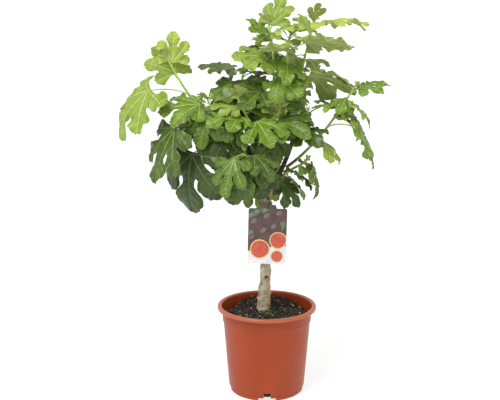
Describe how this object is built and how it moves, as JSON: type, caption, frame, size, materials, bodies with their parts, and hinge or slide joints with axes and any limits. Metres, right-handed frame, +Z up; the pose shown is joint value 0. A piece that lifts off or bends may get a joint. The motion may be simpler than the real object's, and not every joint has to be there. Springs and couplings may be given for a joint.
{
  "type": "potted fig tree",
  "caption": "Young fig tree with a bare lower trunk and a spreading crown of lobed leaves, standing in a round tapered plastic nursery pot, with a picture label tied to the trunk.",
  "frame": {"origin": "centre of the pot's underside, in the plane the pot stands on", "axes": "+Z up along the pot's axis; -Y is the side on which the label hangs"},
  "size_m": [0.6453, 0.3801, 0.9511],
  "materials": {
    "terracotta_plastic": "satin moulded plastic, terracotta red",
    "soil": "rough, moist potting compost",
    "bark": "grey-brown bark with fine cracks",
    "young_bark": "darker, smoother bark",
    "card": "printed gloss card",
    "tie": "plastic loop",
    "young_leaf": "light yellow-green leaf",
    "leaf": "mid-green leaf with a soft sheen",
    "old_leaf": "dark green leaf with a soft sheen"
  },
  "bodies": {
    "root": {"pot": "terracotta_plastic", "soil": "soil", "trunk": "bark", "bough_right": "young_bark", "bough_leader": "young_bark", "bough_left": "young_bark", "bough_front": "young_bark", "bough_back": "young_bark", "bough_back_left": "young_bark", "label_card": "card", "label_tie": "tie", "foliage_left_high": "young_leaf", "foliage_left_mid": "leaf", "foliage_left_low": "old_leaf", "foliage_top_mid": "young_leaf", "foliage_right": "leaf", "foliage_top_right": "leaf", "foliage_top": "young_leaf", "foliage_centre_front": "leaf", "foliage_centre_left": "young_leaf", "foliage_front_low": "old_leaf", "foliage_mid_right": "old_leaf", "foliage_low_right": "leaf", "foliage_low_back": "leaf", "foliage_back_left": "old_leaf", "foliage_left_back": "old_leaf", "foliage_back_mid": "leaf", "foliage_back_right": "leaf", "foliage_back_low": "old_leaf"}
  },
  "joints": []
}
